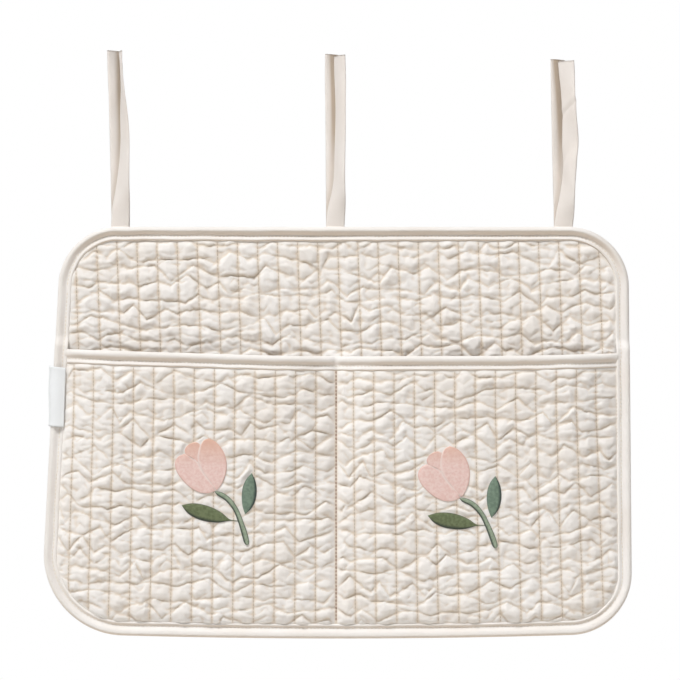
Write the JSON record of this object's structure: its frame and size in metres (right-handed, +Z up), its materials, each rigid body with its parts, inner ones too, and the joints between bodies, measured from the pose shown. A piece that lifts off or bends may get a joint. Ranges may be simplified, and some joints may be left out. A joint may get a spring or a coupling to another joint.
{
  "type": "crib organizer",
  "caption": "Quilted cloth panel with two open pockets, bias-bound edges, embroidered tulips and pairs of loose ties that hang it on a crib rail.",
  "frame": {"origin": "middle of the panel's top edge, where its ties hold it up, in the plane of the lining's back", "axes": "+Z up along the hanging cloth, -Y out of the front with the pockets, +X to the right seen from the front"},
  "size_m": [0.5089, 0.036, 0.5093],
  "materials": {
    "quilt_cotton": "washed matt cotton, quilted in channels",
    "wadding": "soft fibre wadding",
    "bias_tape": "plain woven matt cotton tape",
    "tie_tape": "plain woven matt cotton tape",
    "thread": "spun sewing thread",
    "label_ribbon": "smooth woven ribbon",
    "bloom_floss": "satin-stitched embroidery floss",
    "stem_floss": "satin-stitched embroidery floss",
    "leaf_floss": "satin-stitched embroidery floss"
  },
  "bodies": {
    "root": {"back_lining": "quilt_cotton", "back_wadding": "wadding", "back_face": "quilt_cotton", "pocket_lining": "quilt_cotton", "pocket_wadding": "wadding", "pocket_face": "quilt_cotton", "edge_binding": "bias_tape", "pocket_binding": "bias_tape", "edge_topstitch_front": "thread", "edge_topstitch_back": "thread", "pocket_topstitch": "thread", "divider_seam_front": "thread", "divider_seam_back": "thread", "side_label": "label_ribbon", "tie_root_left": "tie_tape", "tie_root_middle": "tie_tape", "tie_root_right": "tie_tape", "tulip_left_bloom": "bloom_floss", "tulip_left_stem": "stem_floss", "tulip_left_leaf_low": "leaf_floss", "tulip_left_leaf_high": "leaf_floss", "tulip_right_bloom": "bloom_floss", "tulip_right_stem": "stem_floss", "tulip_right_leaf_low": "leaf_floss", "tulip_right_leaf_high": "leaf_floss"},
    "tie_left_front": {"tie_tail_left_front": "tie_tape"},
    "tie_left_back": {"tie_tail_left_back": "tie_tape"},
    "tie_middle_front": {"tie_tail_middle_front": "tie_tape"},
    "tie_middle_back": {"tie_tail_middle_back": "tie_tape"},
    "tie_right_front": {"tie_tail_right_front": "tie_tape"},
    "tie_right_back": {"tie_tail_right_back": "tie_tape"}
  },
  "joints": [
    {"name": "tie_left_front_fold", "type": "hinge", "parent": "root", "child": "tie_left_front", "pos_m": [-0.1904, -0.0002, 0.0031], "axis": [1, 0, 0], "range_deg": [0, 110]},
    {"name": "tie_left_back_fold", "type": "hinge", "parent": "root", "child": "tie_left_back", "pos_m": [-0.1904, 0.0034, 0.0031], "axis": [-1, 0, 0], "range_deg": [0, 160]},
    {"name": "tie_middle_front_fold", "type": "hinge", "parent": "root", "child": "tie_middle_front", "pos_m": [-0.0038, -0.0002, 0.0031], "axis": [1, 0, 0], "range_deg": [0, 110]},
    {"name": "tie_middle_back_fold", "type": "hinge", "parent": "root", "child": "tie_middle_back", "pos_m": [-0.0038, 0.0034, 0.0031], "axis": [-1, 0, 0], "range_deg": [0, 160]},
    {"name": "tie_right_front_fold", "type": "hinge", "parent": "root", "child": "tie_right_front", "pos_m": [0.1943, -0.0002, 0.0031], "axis": [1, 0, 0], "range_deg": [0, 110]},
    {"name": "tie_right_back_fold", "type": "hinge", "parent": "root", "child": "tie_right_back", "pos_m": [0.1943, 0.0034, 0.0031], "axis": [-1, 0, 0], "range_deg": [0, 160]}
  ]
}
